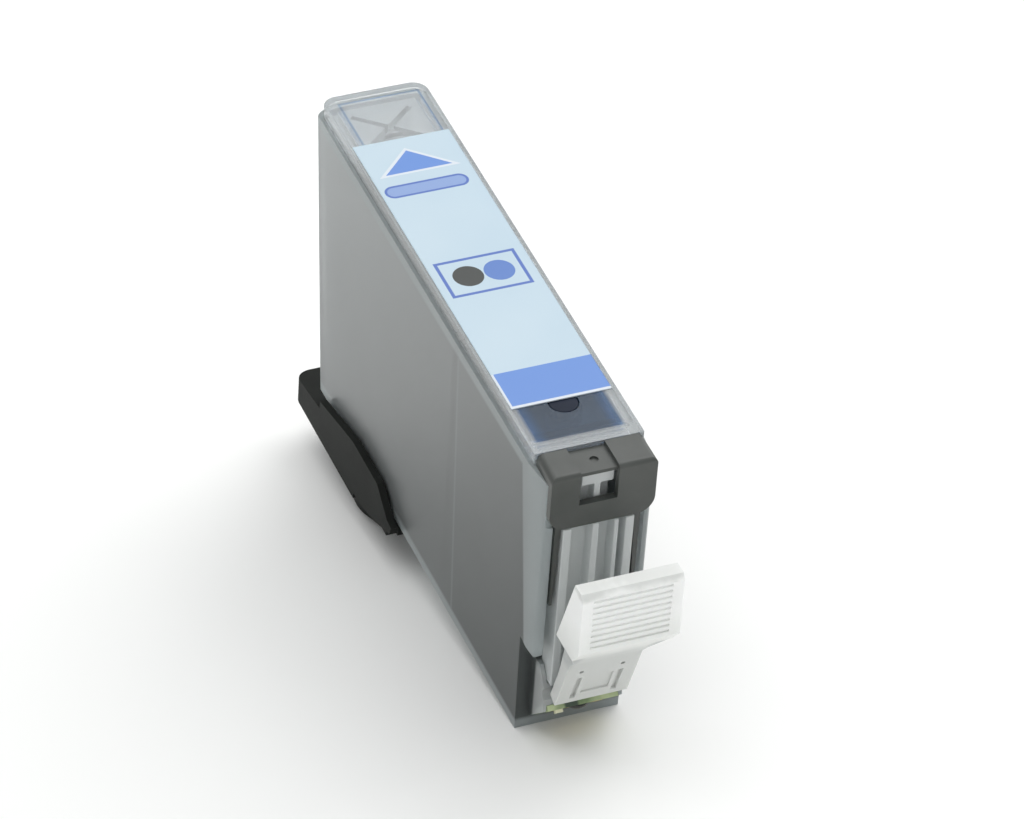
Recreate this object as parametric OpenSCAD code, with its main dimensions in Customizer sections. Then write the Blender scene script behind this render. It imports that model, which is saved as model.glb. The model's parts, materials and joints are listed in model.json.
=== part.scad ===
// Single-colour inkjet ink cartridge: a narrow clear tank with a welded lid, a sprung
// latch lever and a chip on its front, resting on its transport cap and its front lower edge.
// The tank is drawn upright, X across, Y from its front cover to its rear wall, Z up from
// its underside. rest() then tips it back to front, as it lies with its transport cap on.

/* [Tank] */
// Outside length, from the front cover's face to the rear wall
tank_len = 63.4; // [60:0.2:67]
// Outside width at the top edge
tank_w = 12.2; // [11.6:0.1:13.2]
// Height of the side walls
shell_h = 34.6; // [33:0.2:37]
// Side, front and rear wall thickness
wall = 1.0; // [0.8:0.1:1.2]
// Floor thickness
floor_t = 1.2; // [0.9:0.1:1.6]
// How far each side wall leans in from the top edge to the floor
side_draft = 0.45; // [0.2:0.05:0.6]
// How far the rear wall leans in from the top edge to the floor
rear_draft = 3.6; // [1:0.1:4]
// Radius of the upright rear corners
rear_r = 2.0; // [1.5:0.1:2.4]
// Height of the catch on the rear wall above the floor
catch_z = 8.5; // [6:0.5:12]
// How far the catch stands out
catch_out = 1.1; // [0.8:0.1:1.4]
// Width of the catch
catch_w = 6; // [4:0.5:8]
// Height of the catch at its root
catch_h = 2.4; // [1.8:0.1:3]

/* [Chambers] */
// Foot of the ink chamber's front face, back from the cover's face
chamber_y = 3.4; // [3.2:0.1:3.8]
// How far the upper part of that face leans back to the top edge
front_draft = 2.0; // [0.5:0.1:2.2]
// Height at which the face starts to lean
lean_z = 15; // [13:0.5:20]
// Front face of the wall between the two chambers
partition_y = 23.5; // [19:0.5:25]
// Thickness of that wall
partition_t = 1.2; // [0.9:0.1:1.5]
// Width of the ink passage under that wall
passage_w = 5; // [4:0.5:7]
// Height of the ink passage
passage_h = 2.2; // [1.6:0.2:3]
// Height of the level-sensing prism on the chamber floor
prism_h = 2.2; // [1.6:0.1:2.8]
// Length of the prism across the tank
prism_w = 6; // [4:0.5:7]
// Height of the split between the two absorber blocks
split_z = 17.5; // [14:0.5:21]
// Width of the two air slots in the wall between the chambers
slot_w = 0.7; // [0.5:0.1:1]
// Depth of those slots
slot_d = 0.4; // [0.3:0.05:0.5]
// Free ink left in the chamber, measured at its front wall
ink_h = 27; // [12:0.5:27]

/* [Outlet] */
// Outlet centre, in front of the rear wall's top edge
outlet_in = 16.6; // [15:0.2:19]
// Bore of the outlet
outlet_r = 3.2; // [2.8:0.1:3.4]
// Outside radius of the outlet's spout
spout_r = 4.2; // [4:0.1:4.4]
// How far the spout stands below the floor
spout_h = 3.0; // [2.4:0.1:3.4]

/* [Lid] */
// How far the lid's sides lie inside the tank's
lid_in = 0.35; // [0.25:0.05:0.5]
// Thickness of the lid at its rim
lid_t = 1.4; // [1.2:0.1:1.8]
// Width of the raised rim
rim_w = 0.35; // [0.25:0.05:0.4]
// Depth of the label's recess inside the rim
recess_d = 0.2; // [0.15:0.05:0.3]
// Height of the tongue that locates the lid in the tank
tongue_h = 1.4; // [1:0.1:1.8]
// Thickness of that tongue
tongue_t = 0.7; // [0.5:0.1:0.9]
// Vent boss centre, in front of the rear wall's top edge
vent_in = 10.4; // [9.4:0.1:12]
// Outside radius of the vent boss
boss_r = 3.5; // [3:0.1:3.8]
// Radius of the vent hole
vent_r = 0.5; // [0.4:0.05:0.7]
// Width of the hold-down ribs, and of the vent groove
rib_t = 0.6; // [0.5:0.05:0.8]
// Depth of the hold-down ribs under the lid
rib_drop = 2.6; // [2:0.1:3]
// Number of hold-down ribs across the tank
rib_count = 4; // [2:1:5]
// Length of each arm of the rear cross rib
cross_l = 8.4; // [6:0.2:9]
// Angle of those arms to the tank's width
cross_angle = 40; // [35:1:45]
// Fill hole centre, back from the cover's face
fill_y = 10.2; // [9.4:0.1:10.8]
// Radius of the fill hole
fill_r = 1.15; // [1:0.05:1.3]
// Radius of the plug's head
plug_r = 1.5; // [1.4:0.05:1.7]

/* [Label] */
// How far the label's sides lie inside the tank's
label_in = 0.8; // [0.75:0.05:1.2]
// Thickness of the label
label_t = 0.12; // [0.08:0.01:0.15]
// Front end of the label
label_y0 = 10.6; // [10.2:0.1:12]
// Rear end of the label, in front of the rear wall's top edge
label_rear = 8.9; // [8.4:0.1:10]

/* [Front frame] */
// Front edge of the side wings
wing_y = 0.0; // [-0.05:0.05:0.3]
// Thickness of the side wings
wing_t = 1.3; // [1.1:0.05:1.4]
// How far the wings lean in towards their front edges, seen from above
wing_in = 0.45; // [0.3:0.05:0.5]
// Radius of the wings' outer front edges
wing_r = 0.8; // [0.5:0.05:0.8]
// Height of the wings' lower ends
wing_z = 12.2; // [11:0.1:13]
// How far the sides of the lower block that carries the lever lie inside the tank's
block_in = 1.8; // [1.6:0.1:1.9]
// Height of the lower block
block_h = 9.9; // [9.8:0.1:10.4]
// Lower edge of the block's front face
block_z = 5.6; // [5.4:0.1:5.7]
// Height of the chip seat's lower end
seat_z = 2.2; // [2.1:0.1:2.5]

/* [Front cover] */
// How far the cover's face stands in front of the block's face
cover_out = 0.6; // [0.5:0.05:0.7]
// How far the cover's sides lie inside the tank's
cover_in = 0.55; // [0.5:0.05:0.65]
// Wall of the cover
cover_t = 0.8; // [0.75:0.05:0.9]
// Height of the cover
cover_h = 6.7; // [6.2:0.1:7.4]
// Radius of the cover's lower corners
cover_r = 1.9; // [1.2:0.1:2.2]
// Radius of its upper side edges
cover_top_r = 0.7; // [0.3:0.1:1]
// Radius of the cover's long front top edge
cover_edge_r = 0.5; // [0.3:0.1:0.7]
// Width of the channel and window
channel_w = 4.0; // [3.6:0.1:4.4]
// Offset of the channel and window from the tank's middle
channel_x = -0.5; // [-0.6:0.05:-0.3]
// Depth of the channel in the cover's top
channel_d = 0.45; // [0.3:0.05:0.6]
// Height of the window
window_h = 4.0; // [3.6:0.1:4.8]
// Wall left above the window, under the channel
window_roof = 0.4; // [0.3:0.05:0.5]
// Length of the clip legs beside the light guide
leg_h = 10.4; // [7:0.1:11]
// Width of the clip legs at the top
leg_w = 0.65; // [0.5:0.05:0.7]
// Width of the clip legs at their ends
leg_tip = 0.3; // [0.2:0.05:0.4]
// Radius of the dimple in the channel
dimple_r = 0.45; // [0.3:0.05:0.6]

/* [Light guide] */
// Room left beside the light guide, of the tank's width
guide_in = 4.7; // [4.7:0.1:5.2]
// Front edge of the guide's ribs
guide_front = -0.2; // [-0.2:0.05:0.2]
// Depth of the guide from its ribs' front edges to its back
guide_deep = 2.6; // [2.2:0.1:2.6]
// Thickness of the guide's web
guide_t = 0.9; // [0.7:0.05:1]
// Gap between the guide's top and the cover's channel
guide_gap = 0.1; // [0.1:0.05:0.3]
// Width of the T-shaped head seen in the window
head_w = 3.4; // [3:0.1:3.6]
// Offset of that head and its rib from the tank's middle
head_x = -0.3; // [-0.4:0.05:0]
// Height of the head
head_h = 1.5; // [1.2:0.1:1.8]
// Width of the guide's two edge ribs
edge_w = 0.9; // [0.6:0.1:1.1]
// Width of its middle rib
middle_w = 0.7; // [0.5:0.1:0.9]
// Offset of its thin rib from the tank's middle
thin_x = 1.9; // [1.6:0.1:2.2]
// Width of the thin rib
thin_w = 0.45; // [0.35:0.05:0.6]

/* [Latch lever] */
// Hinge line of the lever in front of the block's face
hinge_out = 0.35; // [0.3:0.05:0.45]
// Height of the hinge line
hinge_z = 7.1; // [7:0.1:7.2]
// Radius of the root bead on the hinge line
bead_r = 0.75; // [0.65:0.05:0.85]
// How far the sides of the lever's root lie inside the stem's
root_in = 0.7; // [0.5:0.1:0.9]
// Width of the stem
stem_w = 7.8; // [7.4:0.1:8.2]
// Thickness of the stem
stem_t = 1.3; // [1.1:0.1:1.5]
// Width of the thumb pad
pad_w = 10.7; // [10:0.1:11]
// Height of the pad's top edge
pad_top = 28.1; // [27:0.1:29]
// Height of the pad's lower edge
pad_low = 20.6; // [20:0.1:21.4]
// How far the pad's face stands in front of the cover's face
pad_out = 9.2; // [8.4:0.1:10]
// Thickness of the pad
pad_t = 1.5; // [1.2:0.1:1.8]
// How far the sloped lip under the pad reaches back
lip_l = 4.8; // [4.4:0.1:5]
// Height of that lip
lip_h = 6.0; // [5.6:0.1:6.2]
// Thickness of the pad's side cheeks
cheek_t = 1.1; // [0.9:0.1:1.4]
// Width of the two slots in the stem
slit_w = 0.6; // [0.4:0.1:0.8]
// Width of the shallow panel in the stem
panel_w = 3; // [2:0.1:3.4]
// Number of grip grooves
groove_count = 9; // [6:1:11]
// Depth of the grip grooves
groove_d = 0.22; // [0.15:0.01:0.3]
// Height of each groove
groove_h = 0.32; // [0.2:0.02:0.4]

/* [Chip] */
// How far the circuit board's sides lie inside the tank's
board_in = 2.3; // [2.2:0.1:2.5]
// Length of the circuit board
board_h = 4.4; // [4:0.1:4.4]
// Thickness of the circuit board
board_t = 0.6; // [0.5:0.05:0.8]
// Radius of the board's two locating pins
stake_r = 0.45; // [0.35:0.05:0.55]
// Distance of the pins from the board's edges
stake_in = 0.9; // [0.8:0.1:1.2]
// Distance between neighbouring contacts
contact_pitch = 1.45; // [1.3:0.05:1.5]
// Width of a contact
contact_w = 1.0; // [0.8:0.05:1.1]
// Length of a contact
contact_l = 2.0; // [1.5:0.1:2.2]

/* [Transport cap] */
// How far the cap's base reaches below the tank's floor
cap_drop = 6.4; // [6:0.1:7]
// Outside radius of the cup
cup_r = 6.0; // [5.8:0.1:6.3]
// Wall of the cap
cap_t = 1.2; // [1:0.1:1.4]
// Chamfer of the cup's base edge
cup_edge = 0.5; // [0.3:0.1:0.8]
// Lower edge of the tail below the floor
tail_drop = 5.0; // [4.4:0.1:5.4]
// How far the tail reaches behind the rear wall's top edge
tail_out = 1.8; // [0.6:0.1:3]
// Half width of the tail
tail_r = 6.4; // [5.8:0.1:6.6]
// How far the tail's top slopes down to its rear end
tail_slope = 1.9; // [1:0.1:2]
// Radius of the tail's rear corners
tail_end = 1.8; // [1.6:0.1:3]
// Height of the side tabs above the floor
tab_h = 3.0; // [2:0.1:3.6]
// How far the side tabs reach in front of the outlet
tab_front = 11.6; // [10:0.1:12]
// How far they reach behind it
tab_rear = 9.7; // [8:0.1:10]
// Thickness of the side tabs
tab_t = 0.8; // [0.7:0.05:1]
// Thickness of the seal
seal_t = 1.9; // [1.6:0.1:2.2]

/* [Clearances] */
// Between pieces that sit in each other
fit = 0.1; // [0.05:0.01:0.15]
// Round pieces that move
run = 0.08; // [0.06:0.01:0.1]
// Between the cap and the tank's sides
cap_gap = 0.28; // [0.25:0.01:0.35]

/* [Hidden] */
$fn = 48;
eps = 0.01;

top_z = shell_h + lid_t;
outlet_y = tank_len - outlet_in;
vent_y = tank_len - vent_in;
label_y1 = tank_len - label_rear;
tail_y = tank_len + tail_out;
lid_w = tank_w - 2 * lid_in;
label_w = tank_w - 2 * label_in;
block_w = tank_w - 2 * block_in;
board_w = tank_w - 2 * board_in;
cover_w = tank_w - 2 * cover_in;
guide_w = tank_w - guide_in;
cover_z = top_z - cover_h;
window_z = top_z - window_h;
cover_back = cover_t - cover_out;
window_top = top_z - channel_d - window_roof;
guide_h = window_top - guide_gap;
lid_y0 = chamber_y + fit;
lid_y1 = tank_len - 0.3;
recess_z = top_z - recess_d;
foam_y0 = partition_y + partition_t;
chamber_y0 = chamber_y + wall;
// Half width of the tank's outside at height z
function half_w(z) = tank_w / 2 - side_draft * (1 - z / shell_h);
// Rear wall's outside at height z
function rear_at(z) = tank_len - rear_draft * (1 - z / shell_h);
rear_lean = atan(rear_draft / shell_h);
// Front wall's outside at height z
function front_at(z) = chamber_y + front_draft * max(0, z - lean_z) / (shell_h - lean_z);

// The base of the cup is cut straight across its front, so that the cap stands on an edge
cup_flat = 0.86 * cup_r;
rest_y = outlet_y - cup_flat;
tilt = atan(cap_drop / (rest_y - chamber_y));

// Lever outline, as points of Y and Z
hinge_y = -hinge_out;
hinge = [hinge_y, hinge_z];
root_w = stem_w - 2 * root_in;
stem_foot = hinge + [-0.85, 0.3];
lip_end = [lip_l - pad_out, pad_low - lip_h];
stem_head = lip_end + [0.55, 0.3];
pad_knee = lip_end + [0.5, 4.3];
function tipped_y(p) = (p[0] - chamber_y) * cos(tilt) - p[1] * sin(tilt);
front_y = tipped_y([-pad_out, pad_top]);
back_y = tipped_y([tail_y, -tail_drop]);
mid_y = (front_y + back_y) / 2;

// Tips the cartridge back onto its transport cap, over its own middle
module rest()
    translate([0, -mid_y, 0]) rotate([tilt, 0, 0]) translate([0, -chamber_y, 0]) children();

// A block across the tank, from y0 to y1 and z0 to z1
module bar(w, y0, y1, z0, z1, x = 0)
    translate([x - w / 2, y0, z0]) cube([w, y1 - y0, z1 - z0]);

// A prism across the tank from an outline of Y and Z points
module across(w, points, x = 0)
    translate([x - w / 2, 0, 0]) rotate([90, 0, 90]) linear_extrude(height = w) polygon(points);

// A block whose sides lean with the tank's, inset from its outside
module drafted(inset, y0, y1, z0, z1)
    translate([0, y1, 0]) rotate([90, 0, 0]) linear_extrude(height = y1 - y0)
        polygon([
            [inset - half_w(z0), z0], [half_w(z0) - inset, z0],
            [half_w(z1) - inset, z1], [inset - half_w(z1), z1]
        ]);

// A plate with round rear corners of radius r
module round_back(w, y0, y1, z0, z1, r) {
    bar(w, y0, y1 - r, z0, z1);
    bar(w - 2 * r, y1 - r - eps, y1, z0, z1);
    for (s = [-1, 1]) translate([s * (w / 2 - r), y1 - r, z0]) cylinder(r = r, h = z1 - z0);
}

// The tank's box with its leaning front, sides and rear, inset all round and cut off at y0
module tank_box(inset, y0, z0, z1)
    intersection() {
        drafted(inset, y0, tank_len + 1, z0, z1);
        translate([0, tank_len, shell_h]) rotate([-rear_lean, 0, 0])
            round_back(tank_w + 1 - 2 * inset, -2 * tank_len, -inset, -2 * shell_h, shell_h,
                rear_r + 0.5 - inset);
        across(tank_w + 1, [
            [front_at(0) + inset, -1], [front_at(0) + inset, lean_z],
            [front_at(2 * shell_h) + inset, 2 * shell_h], [2 * tank_len, 2 * shell_h],
            [2 * tank_len, -1]
        ]);
    }

// One side wing in front of the ink chamber, with a round front edge and a slanted foot
module wing(s) {
    side_x = tank_w / 2 - wing_in;
    back_y = front_at(shell_h) + wall;
    intersection() {
        drafted(0, wing_y, back_y, wing_z, shell_h);
        union() {
            translate([s * (side_x - wing_r), wing_y + wing_r, 0])
                cylinder(r = wing_r, h = shell_h);
            linear_extrude(height = shell_h) polygon([
                [0, wing_y], [s * (side_x - wing_r), wing_y],
                [s * side_x, wing_y + wing_r], [s * tank_w / 2, chamber_y + wall / 2],
                [s * tank_w / 2, back_y], [0, back_y]
            ]);
        }
        bar(wing_t, wing_y, back_y, 0, shell_h, s * (tank_w - wing_t) / 2);
        across(tank_w + 1, [
            [wing_y - 1, wing_z + 1.6], [wing_y + 0.4, wing_z], [wing_y + 1.2, wing_z],
            [chamber_y, wing_z + 0.3], [chamber_y + wall / 2, wing_z + 0.3],
            [front_at(lean_z) + wall / 2, lean_z], [front_at(shell_h) + wall / 2, shell_h],
            [wing_y - 1, shell_h]
        ]);
    }
}

// The sloped seat of the circuit board under the lever, from the block's face to the floor
seat_from = [0, block_z];
seat_to = [chamber_y, seat_z];
seat_angle = atan2(seat_from[1] - seat_to[1], seat_to[0] - seat_from[0]);
seat_len = norm(seat_to - seat_from);
// How much lower the lips beside the seat reach
lip_z = board_t / cos(seat_angle);
// Places children on the seat: X across, Y down the slope, Z out of the seat
module on_seat()
    translate([0, seat_from[0], seat_from[1]]) rotate([-seat_angle, 0, 0]) mirror([0, 0, 1])
        children();

module tank_shell() rest() color([0.72, 0.78, 0.82, 0.5])
difference() {
    union() {
        tank_box(0, 0, 0, shell_h);
        for (s = [-1, 1]) wing(s);
        across(block_w, [
            seat_from - [0, lip_z], seat_to - [0, lip_z], [chamber_y + wall / 2, seat_z - lip_z],
            [chamber_y + wall / 2, block_h], [block_top_y, block_h], [0, hinge_z + bead_r - 0.3]
        ]);
        translate([0, outlet_y, -spout_h]) cylinder(r = spout_r, h = spout_h + floor_t);
        across(catch_w, [
            [rear_at(catch_z) - wall / 2, catch_z], [rear_at(catch_z) + catch_out, catch_z],
            [rear_at(catch_z) + catch_out, catch_z + catch_h / 3],
            [rear_at(catch_z + catch_h) - wall / 2, catch_z + catch_h]
        ]);
    }
    // The seat itself, sunk between two side lips
    on_seat() difference() {
        translate([-board_w / 2 - fit, -wall, 0])
            cube([board_w + 2 * fit, seat_len + wall - fit, 4 * board_t]);
        for (s = [-1, 1]) translate([s * (board_w / 2 - stake_in), seat_len / 2, -eps])
            cylinder(r = stake_r, h = board_t + 0.15);
    }
    difference() {
        tank_box(wall, 0, floor_t, shell_h + 1);
        bar(tank_w, partition_y, foam_y0, 0, shell_h + 2);
        prism();
    }
    bar(passage_w, partition_y - 1, foam_y0 + 1, floor_t, floor_t + passage_h);
    for (s = [-1, 1])
        bar(slot_w, foam_y0 - slot_d, foam_y0 + eps, floor_t, split_z - 2, s * passage_w / 3);
    translate([0, outlet_y, -spout_h - 1]) cylinder(r = outlet_r, h = spout_h + floor_t + 2);
    translate([-block_w, hinge_y, hinge_z]) rotate([0, 90, 0])
        cylinder(r = bead_r + run, h = 2 * block_w);
    guide_slot();
    // Step in the wings' front edges behind the cover's face
    bar(tank_w, wing_y - 1, cover_back + fit, cover_z - fit, shell_h + 1);
}

// The two-faced prism on the floor of the ink chamber
module prism() {
    prism_y = (chamber_y0 + partition_y) / 2;
    across(prism_w, [
        [prism_y - prism_h, floor_t], [prism_y + prism_h, floor_t],
        [prism_y, floor_t + prism_h]
    ]);
}

// The pocket in the lower block that takes the foot of the light guide
module guide_slot()
    bar(guide_w + 2 * fit, -wall, guide_back + fit, guide_foot - fit, block_h + 1);

guide_foot = block_h - 1.6;
guide_back = guide_front + guide_deep;
// The block's face slopes back above the hinge, to leave room for the pressed lever
block_top_y = 1.5;

module lid() rest() color([0.78, 0.86, 0.9, 0.5])
difference() {
    union() {
        round_back(lid_w, lid_y0, lid_y1, shell_h, top_z, rear_r - 0.3);
        tongue(0, partition_y - fit);
        tongue(foam_y0 + fit, tank_len);
        translate([0, vent_y, shell_h - rib_drop]) cylinder(r = boss_r, h = rib_drop + eps);
        for (a = [-1, 1]) translate([0, cross_y, shell_h - rib_drop]) rotate([0, 0, a * cross_angle])
            translate([-cross_l / 2, -rib_t / 2, 0]) cube([cross_l, rib_t, rib_drop + eps]);
        for (i = [0 : rib_count - 1]) bar(
            lid_w - 5, rib_y0 + i * rib_step, rib_y0 + i * rib_step + rib_t,
            shell_h - rib_drop, shell_h + eps
        );
        translate([0, fill_y, shell_h - tongue_h]) cylinder(r = fill_r + 0.8, h = tongue_h + eps);
    }
    round_back(
        lid_w - 2 * rim_w, lid_y0 + 1.6, lid_y1 - 0.8, recess_z, top_z + 1, rear_r - 0.6
    );
    translate([0, vent_y, shell_h - rib_drop - 1])
        cylinder(r = boss_r - rib_t, h = rib_drop + 1);
    translate([0, vent_y, shell_h - 1]) cylinder(r = vent_r, h = lid_t + 2);
    vent_groove();
    translate([0, fill_y, 0]) cylinder(r = fill_r, h = top_z + 1);
    translate([0, fill_y, recess_z - plug_head]) cylinder(r = plug_r + fit, h = lid_t);
}

cross_y = vent_y + 4.6;
rib_y0 = foam_y0 + 4;
rib_step = 5.5;
plug_head = 0.5;

// The tongue that locates the lid in the chamber between y0 and y1
module tongue(y0, y1)
    intersection() {
        difference() {
            tank_box(wall + fit, y0, shell_h - tongue_h, shell_h + eps);
            intersection() {
                tank_box(wall + fit + tongue_t, y0 + tongue_t, shell_h - tongue_h - 1, shell_h + 1);
                bar(tank_w, 0, y1 - tongue_t, 0, 2 * shell_h);
            }
        }
        bar(tank_w, 0, y1, 0, 2 * shell_h);
    }

// The folded groove under the label that lets air into the vent
module vent_groove() {
    depth = 0.35;
    turns = 4;
    pitch = 1.5;
    reach = 3.2;
    y0 = vent_y - turns * pitch;
    for (i = [0 : turns])
        bar(2 * reach + rib_t, y0 + i * pitch - rib_t / 2, y0 + i * pitch + rib_t / 2,
            recess_z - depth, recess_z + eps);
    for (i = [0 : turns - 1])
        bar(rib_t, y0 + i * pitch - rib_t / 2, y0 + (i + 1) * pitch + rib_t / 2,
            recess_z - depth, recess_z + eps, (i % 2 == 0 ? 1 : -1) * reach);
    bar(label_w / 2 - reach + 0.1, y0 - rib_t / 2, y0 + rib_t / 2,
        recess_z - depth, recess_z + eps, -(label_w / 2 + reach) / 2);
}

module upper_absorber() rest() color([0.86, 0.88, 0.86])
    tank_box(wall + fit, foam_y0 + fit, split_z + fit, shell_h - rib_drop - fit);

module lower_absorber() rest() color([0.62, 0.72, 0.78])
    tank_box(wall + fit, foam_y0 + fit, floor_t + fit, split_z);

module outlet_wick() rest() color([0.9, 0.9, 0.86])
    translate([0, outlet_y, fit - spout_h + 0.4])
        cylinder(r = outlet_r - fit / 2, h = spout_h + floor_t - 0.4 - fit / 2);

// Free ink: its surface stays level while the cartridge lies tipped
module ink_charge() rest() color([0.12, 0.3, 0.42])
difference() {
    intersection() {
        tank_box(wall, 0, floor_t, shell_h - tongue_h);
        across(tank_w, [
            [chamber_y0, floor_t], [partition_y, floor_t],
            [partition_y, ink_h - (partition_y - chamber_y0) * tan(tilt)], [chamber_y0, ink_h]
        ]);
    }
    prism();
}

module fill_plug() rest() color([0.2, 0.25, 0.3])
translate([0, fill_y, 0]) {
    translate([0, 0, recess_z - plug_head + fit / 2])
        cylinder(r = plug_r, h = plug_head - fit);
    translate([0, 0, shell_h - tongue_h + 0.3])
        cylinder(r = fill_r, h = recess_z - plug_head - shell_h + tongue_h);
}

module top_label() rest() color([0.82, 0.9, 0.96])
    bar(label_w, label_y0, label_y1, recess_z, recess_z + label_t);

module front_cover() rest() color([0.28, 0.29, 0.28])
difference() {
    union() {
        // Face and top, with round corners
        intersection() {
            translate([0, chamber_y, 0]) rotate([90, 0, 0])
                linear_extrude(height = chamber_y + cover_out) cover_face();
            cover_edge();
            union() {
                bar(cover_w, -cover_out, cover_back, cover_z, top_z);
                bar(cover_w, -cover_out, chamber_y, shell_h, top_z);
            }
        }
        for (s = [-1, 1]) clip_leg(s);
    }
    // Channel across the top, which runs on as the window in the face
    bar(channel_w, -cover_out - 1, chamber_y + 1, top_z - channel_d, top_z + 1, channel_x);
    bar(channel_w, -cover_out - 1, guide_back + fit, window_z, window_top, channel_x);
    bar(channel_w, -cover_out - 1, cover_edge_r - cover_out, window_z, top_z, channel_x);
    translate([channel_x + 0.2, 1.6, top_z - channel_d - 0.25]) cylinder(r = dimple_r, h = 2);
}

// Outline of the cover's face, in X and Z
// Outline of the cover's face
module cover_face() {
    z0 = cover_z + cover_r;
    translate([-cover_w / 2, z0]) square([cover_w, top_z - cover_top_r - z0]);
    translate([-cover_w / 2 + cover_r, cover_z]) square([cover_w - 2 * cover_r, cover_r + eps]);
    translate([-cover_w / 2 + cover_top_r, z0]) square([cover_w - 2 * cover_top_r, top_z - z0]);
    for (s = [-1, 1]) {
        translate([s * (cover_w / 2 - cover_r), z0]) circle(r = cover_r);
        translate([s * (cover_w / 2 - cover_top_r), top_z - cover_top_r])
            circle(r = cover_top_r);
    }
}

// Space that rounds the cover's long front top edge
module cover_edge() {
    edge_y = cover_edge_r - cover_out;
    bar(cover_w, edge_y, chamber_y, cover_z, top_z);
    bar(cover_w, -cover_out, edge_y + eps, cover_z, top_z - cover_edge_r);
    translate([-cover_w / 2, edge_y, top_z - cover_edge_r]) rotate([0, 90, 0])
        cylinder(r = cover_edge_r, h = cover_w);
}

// A leg that tapers down between a side wing and the light guide
module clip_leg(s) {
    leg_x = half_w(cover_z - leg_h) - wing_t - fit;
    translate([0, chamber_y - fit, 0]) rotate([90, 0, 0])
        linear_extrude(height = chamber_y - fit - cover_back + eps) polygon([
            [s * leg_x, shell_h + eps], [s * (leg_x - leg_w), shell_h + eps],
            [s * (leg_x - leg_w), cover_z], [s * (leg_x - leg_tip), cover_z - leg_h],
            [s * leg_x, cover_z - leg_h]
        ]);
}

module light_guide() rest() color([0.86, 0.9, 0.9, 0.6]) {
    web_y0 = guide_back - guide_t;
    bar(guide_w, web_y0, guide_back, guide_foot, cover_z - fit);
    bar(head_w, web_y0, guide_back, guide_foot, guide_h, head_x);
    // Edge ribs, and the middle rib that carries the light to the window
    for (s = [-1, 1]) bar(
        edge_w, guide_front, web_y0 + eps, guide_foot, cover_z - 0.5,
        s * (guide_w - edge_w) / 2
    );
    bar(thin_w, guide_front, web_y0 + eps, guide_foot, cover_z - 0.5, thin_x);
    bar(middle_w, guide_front, web_y0 + eps, guide_foot, cover_z - 0.5, head_x);
    bar(middle_w, cover_back + fit, web_y0 + eps, guide_foot, guide_h, head_x);
    bar(head_w, cover_back + fit, web_y0 + eps, guide_h - head_h, guide_h, head_x);
}

module latch_lever() rest() color([0.9, 0.91, 0.9, 0.8])
difference() {
    intersection() {
        union() {
            translate([-root_w / 2, hinge_y, hinge_z]) rotate([0, 90, 0])
                cylinder(r = bead_r, h = root_w);
            across(root_w, strip(hinge, stem_foot + [-0.2, 0.3], stem_t));
            // Stem, with a rib along each edge
            across(stem_w, strip(stem_foot, stem_head, stem_t));
            for (s = [-1, 1]) across(cheek_t, [
                stem_foot + [-0.4, 0], lip_end + [-0.1, 0.3], lip_end + [1.4, 1.2],
                hinge + [-0.85, 0.8]
            ], s * (stem_w - cheek_t) / 2);
            // Pad with its sloped lower lip
            across(pad_w, [
                [-pad_out, pad_low], [-pad_out, pad_top - 0.5], [-pad_out + 0.5, pad_top],
                [-pad_out + pad_t, pad_top], [-pad_out + pad_t + 0.3, pad_low + 0.6],
                lip_end + [1.1, 1.6], lip_end + [1.3, 0.8], lip_end
            ]);
            // Side cheeks behind the pad
            for (s = [-1, 1]) across(cheek_t, [
                [-pad_out, pad_low], [-pad_out, pad_top - 0.5], [-pad_out + 0.5, pad_top],
                [-pad_out + pad_t + 0.5, pad_top], pad_knee, lip_end + [1.4, 1.2], lip_end
            ], s * (pad_w - cheek_t) / 2);
        }
        // The pad's lower corners slope in to the stem
        translate([0, 5, 0]) rotate([90, 0, 0]) linear_extrude(height = 2 * pad_out) polygon([
            [-stem_w / 2, 0], [stem_w / 2, 0], [stem_w / 2, lip_end[1] + 1.2],
            [pad_w / 2, pad_knee[1]], [pad_w / 2, 2 * pad_top], [-pad_w / 2, 2 * pad_top],
            [-pad_w / 2, pad_knee[1]], [-stem_w / 2, lip_end[1] + 1.2]
        ]);
    }
    for (i = [0 : groove_count - 1]) {
        z = pad_low + 0.7 + i * (pad_top - pad_low - 1.6) / (groove_count - 1);
        bar(pad_w - 2.4, -pad_out - 1, -pad_out + groove_d, z - groove_h / 2, z + groove_h / 2);
    }
    // Two slots, a shallow panel between them and two pinholes
    for (s = [-1, 1]) {
        across(slit_w, strip(stem_face(0.1), stem_face(0.62), 0.8), s * (stem_w / 2 - 1.7));
        translate([s * (stem_w / 2 - 1.7), stem_point(0.74)[0] + 2, stem_point(0.74)[1]])
            rotate([90, 0, 0]) cylinder(r = 0.25, h = 4);
    }
    across(panel_w, strip(stem_face(0.2), stem_face(0.6), 0.5));
}
// A point in front of the stem's middle line, on its front face
function stem_face(t) = stem_point(t) + [-stem_t / 2, -stem_t / 5];

// A point on the stem's line, from its foot at 0 to its head at 1
function stem_point(t) = stem_foot + t * (stem_head - stem_foot);
// Outline of a strip of thickness t from a to b
function strip(a, b, t) =
    let (d = (b - a) / norm(b - a), n = [d[1], -d[0]] * t / 2) [a - n, b - n, b + n, a + n];

module chip_board() rest() color([0.35, 0.55, 0.25])
on_seat() difference() {
    translate([-board_w / 2, board_y, fit / 2]) cube([board_w, board_h, board_t]);
    for (s = [-1, 1]) translate([s * (board_w / 2 - stake_in), seat_len / 2, -1])
        cylinder(r = stake_r + fit / 2, h = board_t + 3);
}
board_y = (seat_len - board_h) / 2;
board_top = board_t + fit / 2;

module contact_pads() rest() color([0.85, 0.7, 0.3])
on_seat() for (i = [-1.5 : 1.5])
    translate([i * contact_pitch - contact_w / 2, board_y + board_h - contact_l - 0.4, board_top])
        cube([contact_w, contact_l, 0.06]);

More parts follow.
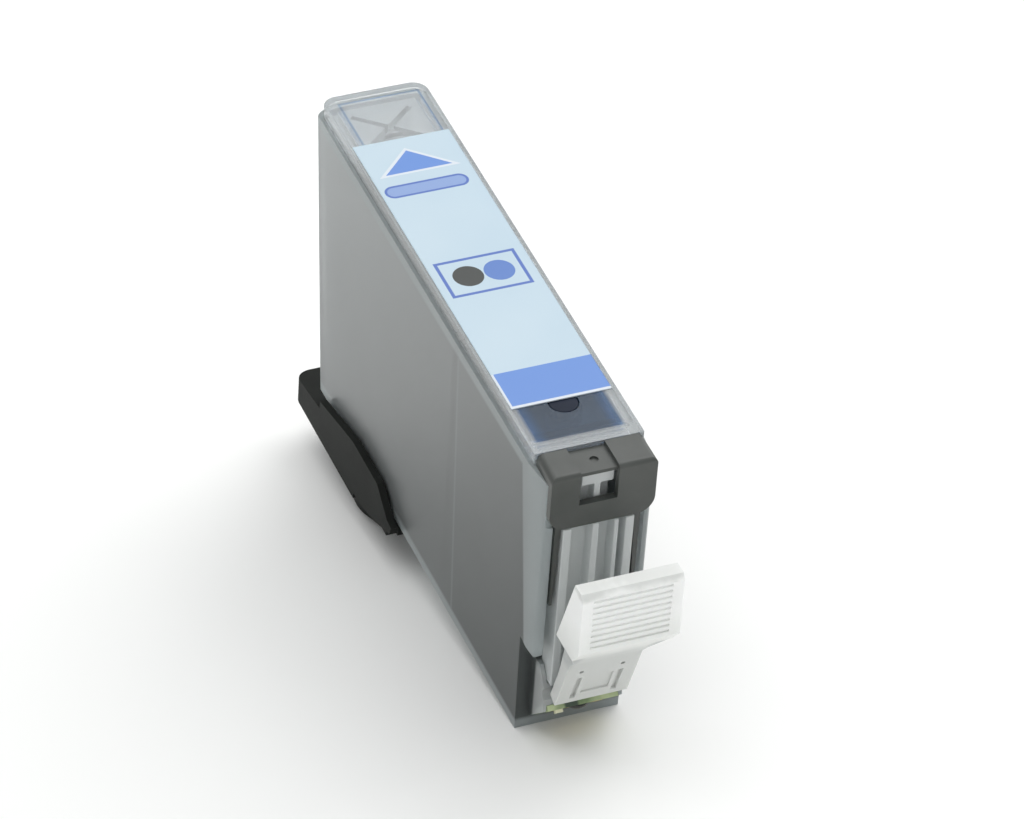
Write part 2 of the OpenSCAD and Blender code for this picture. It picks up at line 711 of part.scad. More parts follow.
capsule_x = -0.2;
module chip_capsule() rest() color([0.08, 0.08, 0.08])
on_seat() translate([capsule_x, board_y + 0.95, board_top])
    intersection() {
        translate([0, 0, -1.2]) sphere(r = 1.6);
        translate([-1.5, -0.8, 0]) cube([3, 1.6, 1]);
    }

module signal_lamp() rest() color([0.9, 0.85, 0.7])
on_seat() translate([capsule_x - 2.7, board_y + 0.5, board_top])
    cube([0.8, 0.5, 0.35]);

module transport_cap() rest() color([0.13, 0.13, 0.13])
difference() {
    union() {
        // Cup round the outlet, with its base edge turned in
        translate([0, outlet_y, -cap_drop]) {
            cylinder(r1 = cup_r - cup_edge, r2 = cup_r, h = cup_edge);
            translate([0, 0, cup_edge]) cylinder(r = cup_r, h = cap_drop - cup_edge - cap_gap);
        }
        // Plate under the tank's floor
        bar(2 * half_w(0), outlet_y - tab_front + 0.8, outlet_y, -cap_gap - cap_t, -cap_gap);
        // Tail that a finger pulls, open below
        tail(0, -tail_drop, -cap_gap);
        for (s = [-1, 1]) side_tab(s);
    }
    translate([0, outlet_y, cup_floor]) cylinder(r = spout_r + cap_gap, h = cap_drop);
    difference() {
        tail(cap_t, -tail_drop - 1, -cap_gap - cap_t);
        translate([0, outlet_y, -cap_drop - 1]) cylinder(r = cup_r - eps, h = cap_drop + 2);
        for (i = [1 : grip_ribs])
            bar(2 * tail_r, grip_y(i), grip_y(i) + 0.8, 0.6 - tail_drop, 0);
    }
    bar(4 * cup_r, 0, rest_y, -2 * cap_drop, cup_edge - cap_drop);
}
cup_floor = -spout_h - seal_t - fit;
grip_ribs = 3;
function grip_y(i) = outlet_y + cup_r + 3 * i;

// The tail with its round end and sloping top, inset all round
module tail(inset, z0, z1)
    intersection() {
        round_back(2 * (tail_r - inset), outlet_y, tail_y - inset, z0, z1, tail_end - inset / 2);
        across(3 * tail_r, [
            [outlet_y - 1, z0 - 1], [outlet_y - 1, z1], [outlet_y + cup_r, z1],
            [tail_y, z1 - tail_slope], [tail_y, z0 - 1]
        ]);
    }

// A tab that reaches up one side of the tank
module side_tab(s) {
    x0 = half_w(tab_h) + cap_gap;
    join = x0 + tab_t - half_w(0) + 1.2;
    translate([s * (x0 + tab_t / 2), 0, 0]) across(tab_t, [
        [outlet_y - tab_front, 0.4], [outlet_y - tab_front + 1.2, 0.6],
        [outlet_y - tab_front + 4.4, tab_h], [outlet_y, tab_h], [outlet_y + tab_rear, 0.8],
        [outlet_y + tab_rear, -tail_drop + 1.4], [outlet_y - 2.8, -tail_drop + 1.6],
        [outlet_y - 6.8, -tail_drop + 2.6], [outlet_y - tab_front + 0.4, -0.6]
    ]);
    bar(join, outlet_y - tab_front + 1.2, outlet_y + tab_rear, -cap_gap - cap_t, -cap_gap,
        s * (x0 + tab_t - join / 2));
}

module cap_seal() rest() color([0.75, 0.3, 0.15])
    translate([0, outlet_y, cup_floor + fit / 2])
        cylinder(r = spout_r + cap_gap - fit, h = seal_t);

tank_shell();
lid();
upper_absorber();
lower_absorber();
outlet_wick();
ink_charge();
fill_plug();
top_label();
front_cover();
light_guide();
latch_lever();
chip_board();
contact_pads();
chip_capsule();
signal_lamp();
transport_cap();
cap_seal();
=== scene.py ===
import json
import math
import bpy
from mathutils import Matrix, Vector

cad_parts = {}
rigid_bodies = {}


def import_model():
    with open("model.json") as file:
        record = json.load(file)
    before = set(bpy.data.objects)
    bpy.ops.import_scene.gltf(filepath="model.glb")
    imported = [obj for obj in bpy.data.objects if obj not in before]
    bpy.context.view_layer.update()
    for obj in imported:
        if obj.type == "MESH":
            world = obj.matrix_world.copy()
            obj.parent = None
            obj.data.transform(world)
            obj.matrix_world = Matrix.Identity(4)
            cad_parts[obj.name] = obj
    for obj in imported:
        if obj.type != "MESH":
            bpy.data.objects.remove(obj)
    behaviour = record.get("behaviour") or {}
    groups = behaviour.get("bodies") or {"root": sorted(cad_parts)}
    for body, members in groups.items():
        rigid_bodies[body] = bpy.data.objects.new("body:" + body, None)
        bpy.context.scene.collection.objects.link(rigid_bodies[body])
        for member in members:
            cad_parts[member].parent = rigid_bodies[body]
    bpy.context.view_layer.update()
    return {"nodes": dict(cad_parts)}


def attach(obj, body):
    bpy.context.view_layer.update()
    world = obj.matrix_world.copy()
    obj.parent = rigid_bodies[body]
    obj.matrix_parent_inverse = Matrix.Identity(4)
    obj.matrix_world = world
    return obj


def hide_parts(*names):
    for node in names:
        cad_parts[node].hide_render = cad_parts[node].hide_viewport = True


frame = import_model()
print("frame loaded:", len(frame["nodes"]), "nodes")

# The tank lies tipped back onto its cap. Places and patterns are given for a tank that
# stands upright, in millimetres: x across, y back from the cover's face, z up from its
# underside.
tankPose = {"tilt": 9.5012, "footY": 3.4, "midY": 22.356, "height": 36.0}
tilt = math.radians(tankPose["tilt"])


def tankPoint(x, y, z):
    y -= tankPose["footY"]
    return Vector((
        x,
        y * math.cos(tilt) - z * math.sin(tilt) - tankPose["midY"],
        y * math.sin(tilt) + z * math.cos(tilt),
    )) / 1000


def uprightPoint(place):
    x, y, z = (1000 * value for value in place)
    y += tankPose["midY"]
    return Vector((
        x,
        y * math.cos(tilt) + z * math.sin(tilt) + tankPose["footY"],
        z * math.cos(tilt) - y * math.sin(tilt),
    ))


# Helpers for pieces

# How a moulding's edges are made, in millimetres and degrees
moulding = {"merge": 0.002, "flat": 0.6, "segments": 3, "bevelAngle": 30, "smoothAngle": 35}


def clearSelection():
    if bpy.context.object and bpy.context.object.mode != "OBJECT":
        bpy.ops.object.mode_set(mode="OBJECT")
    bpy.ops.object.select_all(action="DESELECT")


def pick(piece):
    clearSelection()
    piece.select_set(True)
    bpy.context.view_layer.objects.active = piece


def applyModifier(piece, name):
    pick(piece)
    bpy.ops.object.modifier_apply(modifier=name)


# Joins the corners that lie together, and then the faces that lie in one plane
def mergeCorners(piece, distance, flat=None):
    pick(piece)
    bpy.ops.object.mode_set(mode="EDIT")
    bpy.ops.mesh.select_all(action="SELECT")
    bpy.ops.mesh.remove_doubles(threshold=distance / 1000)
    if flat:
        bpy.ops.mesh.dissolve_limited(angle_limit=math.radians(flat))
    bpy.ops.object.mode_set(mode="OBJECT")


def bevelPiece(piece, width):
    bevel = piece.modifiers.new("softEdges", "BEVEL")
    bevel.width = width / 1000
    bevel.segments = moulding["segments"]
    bevel.limit_method = "ANGLE"
    bevel.angle_limit = math.radians(moulding["bevelAngle"])
    bevel.miter_outer = "MITER_ARC"
    bevel.use_clamp_overlap = True
    applyModifier(piece, "softEdges")


# Smooth over the bevels only, so that the large faces stay flat
def smoothPiece(piece):
    pick(piece)
    bpy.ops.object.shade_smooth_by_angle(angle=math.radians(moulding["smoothAngle"]))
    weights = piece.modifiers.new("flatFaces", "WEIGHTED_NORMAL")
    weights.keep_sharp = True
    weights.weight = 100  # the large faces decide
    applyModifier(piece, "flatFaces")


# A copy of a solid with its edges softened, as a moulding has them
def mouldedCopy(node, width, reshape=None):
    pick(frame["nodes"][node])
    bpy.ops.object.duplicate()
    piece = bpy.context.object
    bpy.ops.object.parent_clear(type="CLEAR_KEEP_TRANSFORM")
    for key in list(piece.keys()):  # the node's own marks, which the copy doesn't carry
        del piece[key]
    mergeCorners(piece, moulding["merge"], moulding["flat"])
    if reshape:
        reshape(piece)
    bevelPiece(piece, width)
    smoothPiece(piece)
    return piece


def coat(piece, material):
    piece.data.materials.clear()
    piece.data.materials.append(material)


# Stands a finished piece in the model: its material, its body and its node
def settle(piece, name, material, body, node):
    piece.name = name
    piece.data.name = name
    coat(piece, material)
    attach(piece, body)
    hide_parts(node)


# Helpers for materials

# The linear colour of what shows in these screen values, less the light that falls on it
def seen(red, green, blue, light):
    return tuple((value / 255) ** 2.2 / light for value in (red, green, blue))


def newMaterial(name, color, roughness, **sockets):
    material = bpy.data.materials.new(name)
    material.use_nodes = True
    shader = material.node_tree.nodes["Principled BSDF"]
    shader.inputs["Base Color"].default_value = (*color, 1)
    shader.inputs["Roughness"].default_value = roughness
    for socket, value in sockets.items():
        shader.inputs[socket.replace("_", " ")].default_value = value
    return material, material.node_tree.nodes, material.node_tree.links, shader


# Object coordinates in the upright tank's millimetres
def tankCoordinates(nodes, links):
    place = nodes.new("ShaderNodeTexCoord")
    turn = nodes.new("ShaderNodeMapping")
    turn.inputs["Scale"].default_value = (1000, 1000, 1000)
    turn.inputs["Rotation"].default_value = (-tilt, 0, 0)
    turn.inputs["Location"].default_value = (
        0,
        tankPose["midY"] * math.cos(tilt) + tankPose["footY"],
        -tankPose["midY"] * math.sin(tilt),
    )
    links.new(place.outputs["Object"], turn.inputs["Vector"])
    return turn.outputs["Vector"]


def splitAxes(nodes, links, vector):
    axes = nodes.new("ShaderNodeSeparateXYZ")
    links.new(vector, axes.inputs[0])
    return axes.outputs


def noiseAt(nodes, links, vector, scale, detail):
    noise = nodes.new("ShaderNodeTexNoise")
    noise.inputs["Scale"].default_value = scale
    noise.inputs["Detail"].default_value = detail
    noise.inputs["Roughness"].default_value = 0.55
    links.new(vector, noise.inputs["Vector"])
    return noise.outputs["Fac"]


def rampOf(nodes, links, factor, stops):
    ramp = nodes.new("ShaderNodeValToRGB")
    ramp.color_ramp.elements[0].position = stops[0][0]
    ramp.color_ramp.elements[0].color = (*stops[0][1], 1)
    ramp.color_ramp.elements[1].position = stops[-1][0]
    ramp.color_ramp.elements[1].color = (*stops[-1][1], 1)
    for position, color in stops[1:-1]:
        ramp.color_ramp.elements.new(position).color = (*color, 1)
    links.new(factor, ramp.inputs["Fac"])
    return ramp.outputs["Color"]


# One maths step on sockets or plain numbers
def calc(nodes, links, operation, *values):
    step = nodes.new("ShaderNodeMath")
    step.operation = operation
    for slot, value in zip(step.inputs, values):
        if isinstance(value, (int, float)):
            slot.default_value = value
        else:
            links.new(value, slot)
    return step.outputs[0]


# Sockets 6 and 7 and output 2 are the ones for colours
def mixColors(nodes, links, factor, under, over):
    mix = nodes.new("ShaderNodeMix")
    mix.data_type = "RGBA"
    for slot, value in ((mix.inputs[0], factor), (mix.inputs[6], under), (mix.inputs[7], over)):
        if isinstance(value, tuple):
            slot.default_value = (*value, 1)
        else:
            links.new(value, slot)
    return mix.outputs[2]


# From a factor of 0 to 1, a value between low and high
def spread(nodes, links, factor, low, high):
    remap = nodes.new("ShaderNodeMapRange")
    remap.inputs["To Min"].default_value = low
    remap.inputs["To Max"].default_value = high
    links.new(factor, remap.inputs["Value"])
    return remap.outputs["Result"]


# From a value between start and end, a factor of 0 to 1
def shareOf(nodes, links, value, start, end):
    remap = nodes.new("ShaderNodeMapRange")
    remap.inputs["From Min"].default_value = start
    remap.inputs["From Max"].default_value = end
    links.new(value, remap.inputs["Value"])
    return remap.outputs["Result"]


# A noise moves the share a little, so that a gradient isn't even
def drifting(nodes, links, share, noise, drift):
    return calc(nodes, links, "ADD", share, spread(nodes, links, noise, -drift, drift))


def awayFrom(nodes, links, axis, middle):
    return calc(nodes, links, "ABSOLUTE", calc(nodes, links, "SUBTRACT", axis, middle))


# A band along one axis, given by its middle and by how far from that it starts and is full
def bandOn(nodes, links, axis, middle, start, full):
    return shareOf(nodes, links, awayFrom(nodes, links, axis, middle), start, full)


def bumpFrom(nodes, links, height, shader, distance, strength):
    bump = nodes.new("ShaderNodeBump")
    bump.inputs["Strength"].default_value = strength
    bump.inputs["Distance"].default_value = distance
    links.new(height, bump.inputs["Height"])
    links.new(bump.outputs["Normal"], shader.inputs["Normal"])


# Clear moulded plastic: faint flow waves, and roughness that varies with them. Its colour
# comes from a function of the tank's axes and the waves, or is slightly paler in places.
def clearPlastic(name, color, roughness, haze, transmission, ior, tint=None, paler=1.03):
    material, nodes, links, shader = newMaterial(
        name, color, roughness, Transmission_Weight=transmission, IOR=ior
    )
    vector = tankCoordinates(nodes, links)
    flow = noiseAt(nodes, links, vector, scale=0.12, detail=1.0)
    if tint:
        tone = tint(nodes, links, splitAxes(nodes, links, vector), flow)
    else:
        pale = tuple(min(1.0, paler * value) for value in color)
        tone = rampOf(nodes, links, flow, [(0.3, color), (0.7, pale)])
    links.new(tone, shader.inputs["Base Color"])
    links.new(
        spread(nodes, links, flow, roughness - haze, roughness + haze),
        shader.inputs["Roughness"],
    )
    bumpFrom(nodes, links, flow, shader, distance=0.00002, strength=0.3)
    return material


# Coloured moulding: a fine spark texture, and a colour that drifts from dark to light or
# comes from a function, as above
def mouldedPlastic(name, dark, light, roughness, grain=9.0, depth=0.000012, tint=None,
                   polish=0.08, wear=0.1, **sockets):
    material, nodes, links, shader = newMaterial(name, light, roughness, **sockets)
    vector = tankCoordinates(nodes, links)
    fine = noiseAt(nodes, links, vector, grain, detail=6.0)
    broad = noiseAt(nodes, links, vector, scale=0.25, detail=3.0)
    if tint:
        tone = tint(nodes, links, splitAxes(nodes, links, vector), broad)
    else:
        tone = rampOf(nodes, links, broad, [(0.3, dark), (0.7, light)])
    links.new(tone, shader.inputs["Base Color"])
    links.new(
        spread(nodes, links, fine, roughness - polish, roughness + wear),
        shader.inputs["Roughness"],
    )
    bumpFrom(nodes, links, fine, shader, depth, strength=0.5)
    return material


# Foam or felt, which darkens from its upper to its lower level as it holds more ink
def foamMaterial(name, levels, tones, pores):
    material, nodes, links, shader = newMaterial(name, tones[0], roughness=0.9)
    vector = tankCoordinates(nodes, links)
    height = splitAxes(nodes, links, vector)[2]
    patches = noiseAt(nodes, links, vector, scale=0.12, detail=3.0)
    share = drifting(nodes, links, shareOf(nodes, links, height, *levels), patches, 0.12)
    cells = nodes.new("ShaderNodeTexVoronoi")
    cells.inputs["Scale"].default_value = pores
    links.new(vector, cells.inputs["Vector"])
    links.new(
        rampOf(nodes, links, share, [(0.0, tones[0]), (1.0, tones[1])]),
        shader.inputs["Base Color"],
    )
    bumpFrom(nodes, links, cells.outputs["Distance"], shader, distance=0.00005, strength=0.4)
    return material


# The tank's walls are smoky over the chambers, lighter towards the top and the rear, and
# lighter still along their edges. Width, length and height are bands.
tankTint = {
    "body": [(10, (0.14, 0.155, 0.155)), (20, (0.19, 0.205, 0.205)), (84, (0.56, 0.585, 0.59))],
    "span": 100.0, "drift": 0.05,
    "edge": (0.56, 0.61, 0.615), "length": (31.7, 30.2, 30.8), "height": (17.3, 15.9, 16.4),
    "front": {"start": 1.0, "slope": 0.137, "soft": 0.4},
    "partition": {"start": 20.9, "slope": 0.0445, "half": (0.3, 0.12), "strength": 0.3},
    "noseLength": (-1.0, 3.6, 3.2),
    "milk": (0.84, 0.87, 0.86), "milkWidth": (-4.3, 1.1, 0.8), "milkHeight": (5.6, 4.6, 3.6),
    "underShade": (0.09, 0.14, 0.14), "underShadeHeight": (0.0, 2.4, 2.0),
}


def tintTank(nodes, links, axes, flow):
    place = calc(nodes, links, "ADD", axes[1], axes[2])
    share = calc(nodes, links, "DIVIDE", place, tankTint["span"])
    share = drifting(nodes, links, share, flow, tankTint["drift"])
    stops = [(reach / tankTint["span"], tone) for reach, tone in tankTint["body"]]
    edge = calc(
        nodes, links, "MAXIMUM",
        bandOn(nodes, links, axes[1], *tankTint["length"]),
        bandOn(nodes, links, axes[2], *tankTint["height"]),
    )

    # The chamber's front wall and its partition lean back as they rise
    def behind(wall):
        return calc(nodes, links, "SUBTRACT", axes[1], calc(
            nodes, links, "MULTIPLY_ADD", axes[2], wall["slope"], wall["start"]
        ))

    front = tankTint["front"]
    front = shareOf(nodes, links, behind(front), 0.0, -front["soft"])
    edge = calc(nodes, links, "MAXIMUM", edge, front)
    partition = tankTint["partition"]
    seam = bandOn(nodes, links, behind(partition), 0.0, *partition["half"])
    seam = calc(nodes, links, "MULTIPLY", seam, partition["strength"])
    edge = calc(nodes, links, "MAXIMUM", edge, seam)
    color = mixColors(nodes, links, edge, rampOf(nodes, links, share, stops), tankTint["edge"])

    # The nose under the lever is milky on the left, and has painted shade along its foot below
    # the board
    milk = calc(
        nodes, links, "MULTIPLY",
        bandOn(nodes, links, axes[0], *tankTint["milkWidth"]),
        bandOn(nodes, links, axes[2], *tankTint["milkHeight"]),
    )
    nose = bandOn(nodes, links, axes[1], *tankTint["noseLength"])
    milk = calc(nodes, links, "MULTIPLY", milk, nose)
    color = mixColors(nodes, links, milk, color, tankTint["milk"])
    # Painted shade along the nose's foot below the board, where the shadow under the board falls
    underShade = calc(nodes, links, "MULTIPLY", nose,
                 bandOn(nodes, links, axes[2], *tankTint["underShadeHeight"]))
    return mixColors(nodes, links, underShade, color, tankTint["underShade"])


# Ink wets the lid under its front window, and blue glints are painted along the sides
# there. The seam has the middle, the inner edge and the outer edge of its line.
lidTint = {
    "clear": (0.92, 0.95, 0.965), "wet": (0.1, 0.16, 0.25), "paintedGlint": (0.1, 0.24, 0.5),
    "wetWidth": (-0.2, 4.8, 4.4), "wetLength": (8.6, 3.8, 3.3), "paintedGlintWidth": (-0.2, 3.2, 4.4),
    "seam": (0.42, 0.56, 0.78), "seamWidth": (0.35, 4.25, 4.5), "seamLength": (57.0, 4.75, 5.0),
}


def tintLid(nodes, links, axes, flow):
    wet = calc(
        nodes, links, "MULTIPLY",
        bandOn(nodes, links, axes[0], *lidTint["wetWidth"]),
        bandOn(nodes, links, axes[1], *lidTint["wetLength"]),
    )
    # Painted glints: a brighter blue along both sides of the front window
    glintSides = bandOn(nodes, links, axes[0], *lidTint["paintedGlintWidth"])
    inkAndGlint = mixColors(nodes, links, glintSides, lidTint["wet"], lidTint["paintedGlint"])
    color = mixColors(nodes, links, wet, lidTint["clear"], inkAndGlint)

    # A thin ink-stained seam frames the rear window
    def fromSeam(axis, middle, inner, outer):
        away = awayFrom(nodes, links, axis, middle)
        return (calc(nodes, links, "GREATER_THAN", away, inner),
                calc(nodes, links, "LESS_THAN", away, outer))

    across, withinAcross = fromSeam(axes[0], *lidTint["seamWidth"])
    along, withinAlong = fromSeam(axes[1], *lidTint["seamLength"])
    seam = calc(nodes, links, "MULTIPLY", withinAcross, withinAlong)
    seam = calc(nodes, links, "MULTIPLY", seam, calc(nodes, links, "MAXIMUM", across, along))
    return mixColors(nodes, links, seam, color, lidTint["seam"])


tankPlastic = clearPlastic(
    "tankPlastic", tankTint["edge"], roughness=0.3, haze=0.04, transmission=0.6, ior=1.3,
    tint=tintTank,
)
lidPlastic = clearPlastic(
    "lidPlastic", lidTint["clear"], roughness=0.18, haze=0.03, transmission=0.74, ior=1.35,
    tint=tintLid,
)
guidePlastic = clearPlastic(
    "guidePlastic", (0.87, 0.9, 0.9), roughness=0.25, haze=0.05, transmission=0.4, ior=1.47
)

# Painted light on the lever: its thin pad lets more light through than its stem, so it is painted
# lighter, and its top face and the lip under it get painted shade
leverTint = {
    "levels": [(7.5, (0.6, 0.61, 0.59)), (16.5, (0.6, 0.615, 0.6)), (18.5, (0.76, 0.77, 0.75)),
               (24.0, (0.94, 0.95, 0.93)), (27.4, (0.94, 0.95, 0.93)), (27.9, (0.7, 0.71, 0.69))],
    "drift": 0.03,
    "lip": (0.44, 0.46, 0.455), "lipWidth": (0.0, 3.3, 4.3), "lipHeight": (16.2, 2.4, 1.6),
}


def tintLever(nodes, links, axes, flow):
    share = calc(nodes, links, "DIVIDE", axes[2], tankPose["height"])
    share = drifting(nodes, links, share, flow, leverTint["drift"])
    stops = [(level / tankPose["height"], tone) for level, tone in leverTint["levels"]]
    color = rampOf(nodes, links, share, stops)
    # Painted shade on the lip under the pad
    lip = calc(
        nodes, links, "MULTIPLY",
        bandOn(nodes, links, axes[0], *leverTint["lipWidth"]),
        bandOn(nodes, links, axes[2], *leverTint["lipHeight"]),
    )
    return mixColors(nodes, links, lip, color, leverTint["lip"])


leverPlastic = mouldedPlastic(
    "leverPlastic", leverTint["levels"][0][1], leverTint["levels"][-1][1], roughness=0.38,
    grain=7.0, depth=0.00001, tint=tintLever,
    Subsurface_Weight=0.5, Subsurface_Radius=(1, 1, 1), Subsurface_Scale=0.0008,
)
coverPlastic = mouldedPlastic(
    "coverPlastic", (0.053, 0.058, 0.053), (0.068, 0.073, 0.068), roughness=0.4
)
capPlastic = mouldedPlastic(
    "capPlastic", (0.01, 0.011, 0.01), (0.015, 0.017, 0.015), roughness=0.6,
    Specular_IOR_Level=0.12,
)
dryFoam = foamMaterial(
    "dryFoam", levels=(17.5, 32), tones=[(0.3, 0.305, 0.3), (0.93, 0.94, 0.93)], pores=2.2
)
inkedFoam = foamMaterial(
    "inkedFoam", levels=(1, 17.5), tones=[(0.06, 0.07, 0.067), (0.13, 0.135, 0.13)], pores=2.2
)
feltMaterial = foamMaterial(
    "wickFelt", levels=(-3, 1), tones=[(0.5, 0.51, 0.5), (0.6, 0.61, 0.6)], pores=4.0
)
inkLiquid = mouldedPlastic(
    "inkLiquid", (0.035, 0.05, 0.065), (0.05, 0.07, 0.085), roughness=0.45, grain=0.6,
    depth=0.00002,
)
plugPlastic = mouldedPlastic(
    "plugPlastic", (0.006, 0.011, 0.024), (0.01, 0.016, 0.034), roughness=0.4,
    Specular_IOR_Level=0.15,
)

boardTint = {
    "dark": (0.13, 0.21, 0.09), "pale": (0.5, 0.58, 0.33), "mask": (0.06, 0.09, 0.06),
    "maskWidth": (-1.25, 0.85, 0.6),
}


# Pale laminate with a strip of darker mask beside the capsule
def tintBoard(nodes, links, axes, flow):
    pale = rampOf(nodes, links, flow, [(0.35, boardTint["dark"]), (0.6, boardTint["pale"])])
    mask = bandOn(nodes, links, axes[0], *boardTint["maskWidth"])
    return mixColors(nodes, links, mask, pale, boardTint["mask"])


boardLaminate = mouldedPlastic(
    "boardLaminate", boardTint["dark"], boardTint["pale"], roughness=0.35, tint=tintBoard
)
contactGold = mouldedPlastic(
    "contactGold", (0.72, 0.5, 0.18), (0.8, 0.6, 0.25), roughness=0.28, grain=12.0, Metallic=1.0
)
capsuleResin = mouldedPlastic(
    "capsuleResin", (0.01, 0.01, 0.01), (0.02, 0.02, 0.02), roughness=0.3
)
lampLens = mouldedPlastic("lampLens", (0.8, 0.76, 0.55), (0.85, 0.82, 0.62), roughness=0.2)
sealRubber = mouldedPlastic("sealRubber", (0.4, 0.11, 0.05), (0.5, 0.15, 0.07), roughness=0.6)

# The label's print: plain fields and shapes, with no words
labelPrint = {
    "light": 1.37,
    "film": [(206, 229, 244), (213, 234, 247)],
    "blue": (110, 155, 233),
    "line": (92, 124, 205),
    "white": (238, 246, 255),
    "band": {"front": 10.95, "rear": 16.05, "left": -5.06},
    "frame": {"middle": (-0.08, 31.17), "half": (4.37, 2.87), "line": 0.36},
    "arrow": {"base": 49.0, "left": -3.72, "right": 3.58, "apex": (-0.23, 52.4),
              "rim": 0.3, "sideRim": 1.6},
    "pill": {"middle": (-0.33, 46.2), "half": 3.55, "radius": 1.0, "rim": 0.28,
             "fill": (150, 178, 232)},
    "discs": [((-1.7, 31.2), (62, 66, 64)), ((1.65, 31.2), (98, 138, 214))],
    "discRadius": 1.6,
}


def makeLabelFilm():
    light = labelPrint["light"]
    tones = [seen(*tone, light) for tone in labelPrint["film"]]
    material, nodes, links, shader = newMaterial("labelFilm", tones[1], roughness=0.36)
    vector = tankCoordinates(nodes, links)
    x, y, _ = splitAxes(nodes, links, vector)

    def both(first, second):
        return calc(nodes, links, "MULTIPLY", first, second)

    def above(value, limit):
        return calc(nodes, links, "GREATER_THAN", value, limit)

    def below(value, limit):
        return calc(nodes, links, "LESS_THAN", value, limit)

    # How far a value is past a shape's half length
    def past(value, middle, half):
        return calc(nodes, links, "SUBTRACT", awayFrom(nodes, links, value, middle), half)

    broad = noiseAt(nodes, links, vector, scale=0.08, detail=2.0)
    color = rampOf(nodes, links, broad, [(0.3, tones[0]), (0.7, tones[1])])

    def printOn(mask, tone):
        return mixColors(nodes, links, mask, color, seen(*tone, light))

    band = labelPrint["band"]
    color = printOn(below(y, band["rear"]), labelPrint["white"])
    field = both(below(y, band["rear"]), above(y, band["front"]))
    color = printOn(both(field, above(x, band["left"])), labelPrint["blue"])

    box = labelPrint["frame"]
    reach = calc(
        nodes, links, "MAXIMUM",
        past(x, box["middle"][0], box["half"][0]),
        past(y, box["middle"][1], box["half"][1]),
    )
    color = printOn(both(below(reach, 0), above(reach, -box["line"])), labelPrint["line"])

    def distanceTo(middle, half=0.0):
        along = calc(nodes, links, "MAXIMUM", past(x, middle[0], half), 0.0)
        side = awayFrom(nodes, links, y, middle[1])
        return calc(nodes, links, "SQRT", calc(
            nodes, links, "ADD", both(along, along), both(side, side)
        ))

    for middle, tone in labelPrint["discs"]:
        color = printOn(below(distanceTo(middle), labelPrint["discRadius"]), tone)

    pill = labelPrint["pill"]
    away = distanceTo(pill["middle"], pill["half"])
    color = printOn(below(away, pill["radius"]), labelPrint["line"])
    color = printOn(below(away, pill["radius"] - pill["rim"]), pill["fill"])

    # The arrow is above its base line and between its two slanted sides, whose rim takes
    # up more of x
    arrow = labelPrint["arrow"]
    rise = calc(nodes, links, "SUBTRACT", y, arrow["base"])
    height = arrow["apex"][1] - arrow["base"]

    def arrowMask(rim):
        left = calc(nodes, links, "MULTIPLY", rise, (arrow["apex"][0] - arrow["left"]) / height)
        right = calc(nodes, links, "MULTIPLY", rise, (arrow["apex"][0] - arrow["right"]) / height)
        toLeft = calc(nodes, links, "SUBTRACT", x, left)
        toRight = calc(nodes, links, "SUBTRACT", x, right)
        sideRim = arrow["sideRim"] * rim
        inside = both(above(toLeft, arrow["left"] - sideRim),
                      below(toRight, arrow["right"] + sideRim))
        return both(inside, above(rise, -rim))

    color = printOn(arrowMask(arrow["rim"]), labelPrint["white"])
    color = printOn(arrowMask(0), labelPrint["blue"])
    links.new(color, shader.inputs["Base Color"])

    fine = noiseAt(nodes, links, vector, scale=5.0, detail=5.0)
    links.new(spread(nodes, links, fine, 0.28, 0.44), shader.inputs["Roughness"])
    bumpFrom(nodes, links, fine, shader, distance=0.000006, strength=0.4)
    return material


labelFilm = makeLabelFilm()
print("materials made")

# The solid has a notch behind the pad's top edge. The edge runs straight from cheek to
# cheek, so the notch's inner corners move back to meet the outer ones.
padTop = {"back": -7.7, "reach": 0.5, "level": 28.1, "half": 4.25, "near": 0.05, "merge": 0.02}


def closePadTop(piece):
    for corner in piece.data.vertices:
        place = uprightPoint(corner.co)
        if (abs(place.z - padTop["level"]) < padTop["near"]
                and abs(place.y - padTop["back"]) < padTop["near"]
                and abs(place.x) < padTop["half"] + padTop["near"]):
            place.y += padTop["reach"]
            corner.co = tankPoint(*place)
    mergeCorners(piece, padTop["merge"])


# Mouldings, each with the width of its softened edges, its material, body and slot
softEdges = {
    "tank_shell": (0.25, tankPlastic, "tank", "clear_tank"),
    "lid": (0.12, lidPlastic, "tank", "clear_lid"),
    "front_cover": (0.22, coverPlastic, "tank", "cover_plastic"),
    "light_guide": (0.12, guidePlastic, "tank", "guide_plastic"),
    "latch_lever": (0.22, leverPlastic, "lever", "lever_plastic"),
    "transport_cap": (0.3, capPlastic, "cap", "cap_plastic"),
    "fill_plug": (0.15, plugPlastic, "tank", "plug_plastic"),
    "chip_board": (0.06, boardLaminate, "tank", "board_laminate"),
}
reshapes = {"latch_lever": closePadTop}
for node, (width, material, body, slot) in softEdges.items():
    piece = mouldedCopy(node, width, reshapes.get(node))
    settle(piece, node + "Moulding", material, body, node)
    print(node, "softened:", len(piece.data.polygons), "faces")

# Solids that stay as they are, with a finish
finishes = {
    "upper_absorber": dryFoam,
    "lower_absorber": inkedFoam,
    "outlet_wick": feltMaterial,
    "ink_charge": inkLiquid,
    "top_label": labelFilm,
    "contact_pads": contactGold,
    "chip_capsule": capsuleResin,
    "signal_lamp": lampLens,
    "cap_seal": sealRubber,
}
for node, material in finishes.items():
    coat(frame["nodes"][node], material)
print("finishes set")

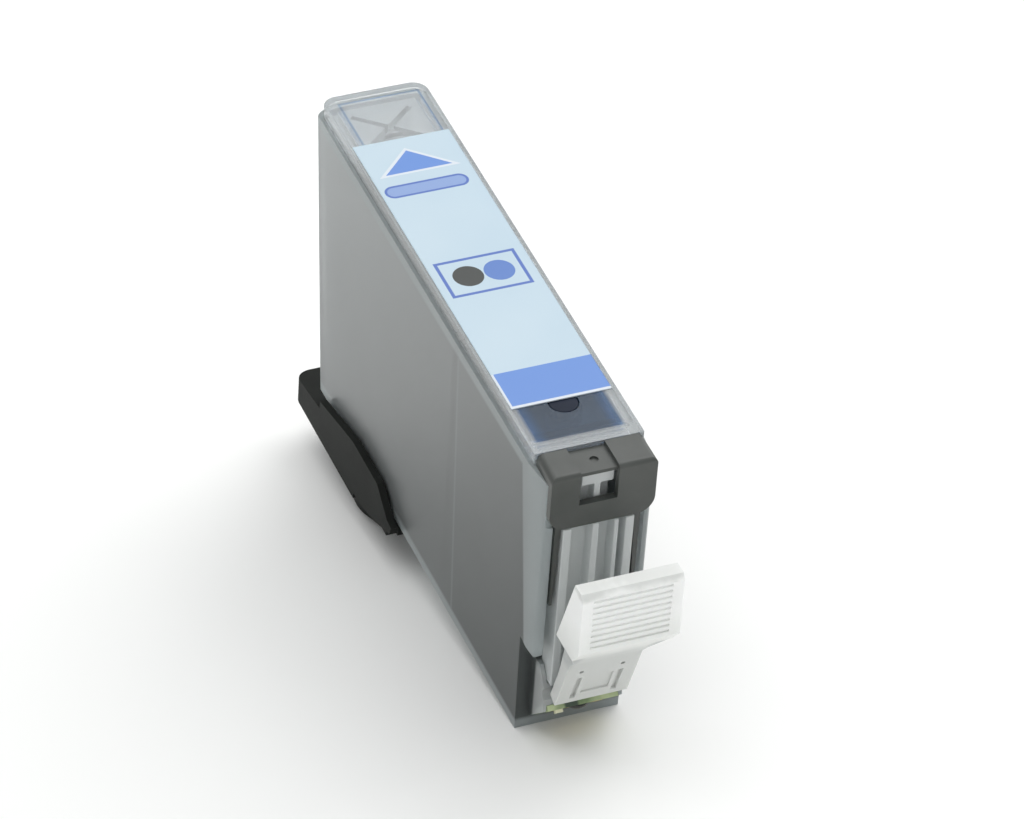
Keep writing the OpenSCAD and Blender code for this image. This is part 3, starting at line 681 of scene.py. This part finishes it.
# The floor, the lights and the camera, in metres, watts and degrees; the lens and its
# sensor are in millimetres
floor = {"size": 3.0, "color": (0.93, 0.93, 0.915), "roughness": 0.7, "grain": 40,
         "depth": 0.0003, "strength": 0.15}
clearSelection()
bpy.ops.mesh.primitive_plane_add(size=floor["size"], location=(0, 0, 0))
floorPlane = bpy.context.object
floorPlane.name = "floorPlane"
floorMaterial, nodes, links, shader = newMaterial(
    "floorPaper", floor["color"], floor["roughness"]
)
vector = nodes.new("ShaderNodeTexCoord").outputs["Object"]
grain = noiseAt(nodes, links, vector, floor["grain"], detail=4.0)
bumpFrom(nodes, links, grain, shader, floor["depth"], floor["strength"])
floorPlane.data.materials.append(floorMaterial)

lights = {
    "keyLight": {"place": (0.42, 0.18, 0.42), "size": 0.55, "power": 1.7},
    "topLight": {"place": (-0.05, 0.1, 0.6), "size": 0.7, "power": 2.2},
    "frontFill": {"place": (-0.1, -0.6, 0.3), "size": 0.4, "power": 0.3},
}
lightsAim = Vector((0, 0, 0.02))
for name, setting in lights.items():
    lamp = bpy.data.lights.new(name, "AREA")
    lamp.size = setting["size"]
    lamp.energy = setting["power"]
    holder = bpy.data.objects.new(name, lamp)
    bpy.context.scene.collection.objects.link(holder)
    holder.location = setting["place"]
    toAim = lightsAim - Vector(setting["place"])
    holder.rotation_euler = toAim.to_track_quat("-Z", "Y").to_euler()

sky = {"color": (0.97, 0.99, 1.0), "strength": 0.53}
world = bpy.data.worlds.new("studioSky")
world.use_nodes = True
background = world.node_tree.nodes["Background"]
background.inputs["Color"].default_value = (*sky["color"], 1)
background.inputs["Strength"].default_value = sky["strength"]
bpy.context.scene.world = world
bpy.context.scene.view_settings.view_transform = "Standard"

camera = {
    "place": (-0.18314, -0.46275, 0.32315), "turn": (58.9527, 0.2409, -22.0876),
    "lens": 200.95, "sensor": 36, "near": 0.05, "far": 5,
}
lensData = bpy.data.cameras.new("photoCamera")
lensData.lens = camera["lens"]
lensData.sensor_width = camera["sensor"]
lensData.clip_start = camera["near"]
lensData.clip_end = camera["far"]
photoCamera = bpy.data.objects.new("photoCamera", lensData)
photoCamera.location = camera["place"]
photoCamera.rotation_euler = [math.radians(angle) for angle in camera["turn"]]
bpy.context.scene.collection.objects.link(photoCamera)
bpy.context.scene.camera = photoCamera
print("stage, lights and camera set")
